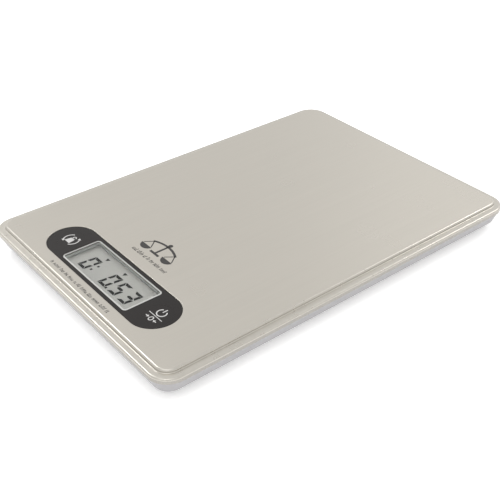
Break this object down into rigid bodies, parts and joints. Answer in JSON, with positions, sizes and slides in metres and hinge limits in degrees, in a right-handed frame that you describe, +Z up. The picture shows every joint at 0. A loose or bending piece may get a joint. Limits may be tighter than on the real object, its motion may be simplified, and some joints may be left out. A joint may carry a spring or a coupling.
{
  "type": "shop counter scale",
  "caption": "Slim electronic shop scale with a steel weighing platform, a flush display with two keys and sensing feet.",
  "frame": {"origin": "on the table under the centre of the scale, in the plane of the feet", "axes": "+X to the right seen from the front edge with the display, +Y to the back along the long side, +Z up"},
  "size_m": [0.16, 0.23, 0.0155],
  "materials": {
    "platform_steel": "fine brushed face with polished bends",
    "adhesive": "translucent tape",
    "housing_plastic": "moulded, fine texture",
    "panel_plastic": "satin overlay",
    "window_clear": "polished clear",
    "plunger_plastic": "moulded",
    "switch_plastic": "moulded",
    "stem_plastic": "moulded",
    "lcd_film": "grey-green film",
    "lcd_glass": "polished",
    "elastomer": "matt",
    "board": "solder resist",
    "resin": "cast resin",
    "crystal_can": "drawn can",
    "chip_ceramic": "ceramic",
    "screw_steel": "zinc plated",
    "cell_steel": "stamped",
    "gauge_foil": "etched foil",
    "foot_plastic": "moulded",
    "foot_rubber": "matt",
    "lead_grey": "soft insulation",
    "lead_red": "soft insulation",
    "lead_black": "soft insulation",
    "coin_can": "bright can",
    "contact_metal": "spring strip",
    "base_plastic": "moulded, fine texture",
    "label_film": "blank printed film"
  },
  "bodies": {
    "body": {"platter_skin": "platform_steel", "skin_tape": "adhesive", "upper_housing": "housing_plastic", "control_panel": "panel_plastic", "panel_adhesive": "adhesive", "display_window": "window_clear", "unit_switch_body": "switch_plastic", "power_switch_body": "switch_plastic", "lcd_front_polarizer": "lcd_film", "lcd_glass": "lcd_glass", "lcd_reflector": "lcd_film", "lcd_frame": "housing_plastic", "zebra_strips": "elastomer", "main_board": "board", "controller_blob": "resin", "crystal": "crystal_can", "chip_capacitors": "chip_ceramic", "chip_resistors": "resin", "board_screws": "screw_steel", "load_cell_front_left": "cell_steel", "load_cell_front_right": "cell_steel", "load_cell_rear_left": "cell_steel", "load_cell_rear_right": "cell_steel", "strain_gauges": "gauge_foil", "cell_screws": "screw_steel", "cell_lead_front_left": "lead_grey", "cell_lead_front_right": "lead_grey", "cell_lead_rear_left": "lead_grey", "cell_lead_rear_right": "lead_grey", "coin_cell": "coin_can", "contact_positive": "contact_metal", "contact_negative": "contact_metal", "battery_lead_positive": "lead_red", "battery_lead_negative": "lead_black", "base_shell": "base_plastic", "housing_screws": "screw_steel", "rating_label": "label_film"},
    "unit_key": {"unit_key_pad": "panel_plastic", "unit_key_plunger": "plunger_plastic", "unit_switch_stem": "stem_plastic"},
    "power_key": {"power_key_pad": "panel_plastic", "power_key_plunger": "plunger_plastic", "power_switch_stem": "stem_plastic"},
    "battery_cover": {"battery_door": "base_plastic"},
    "foot_front_left": {"foot_cap_front_left": "foot_plastic", "foot_pad_front_left": "foot_rubber"},
    "foot_front_right": {"foot_cap_front_right": "foot_plastic", "foot_pad_front_right": "foot_rubber"},
    "foot_rear_left": {"foot_cap_rear_left": "foot_plastic", "foot_pad_rear_left": "foot_rubber"},
    "foot_rear_right": {"foot_cap_rear_right": "foot_plastic", "foot_pad_rear_right": "foot_rubber"}
  },
  "joints": [
    {"name": "unit_key_press", "type": "slide", "parent": "body", "child": "unit_key", "axis": [0, 0, -1], "range_m": [0, 0.00025], "stiffness_N_per_m": 4000},
    {"name": "power_key_press", "type": "slide", "parent": "body", "child": "power_key", "axis": [0, 0, -1], "range_m": [0, 0.00025], "stiffness_N_per_m": 4000},
    {"name": "battery_door_swing", "type": "hinge", "parent": "body", "child": "battery_cover", "pos_m": [0, -0.0315, 0.0032], "axis": [1, 0, 0], "range_deg": [0, 80]},
    {"name": "front_left_foot_load", "type": "slide", "parent": "body", "child": "foot_front_left", "axis": [0, 0, 1], "range_m": [0, 0.0002], "stiffness_N_per_m": 60000},
    {"name": "front_right_foot_load", "type": "slide", "parent": "body", "child": "foot_front_right", "axis": [0, 0, 1], "range_m": [0, 0.0002], "stiffness_N_per_m": 60000},
    {"name": "rear_left_foot_load", "type": "slide", "parent": "body", "child": "foot_rear_left", "axis": [0, 0, 1], "range_m": [0, 0.0002], "stiffness_N_per_m": 60000},
    {"name": "rear_right_foot_load", "type": "slide", "parent": "body", "child": "foot_rear_right", "axis": [0, 0, 1], "range_m": [0, 0.0002], "stiffness_N_per_m": 60000}
  ]
}
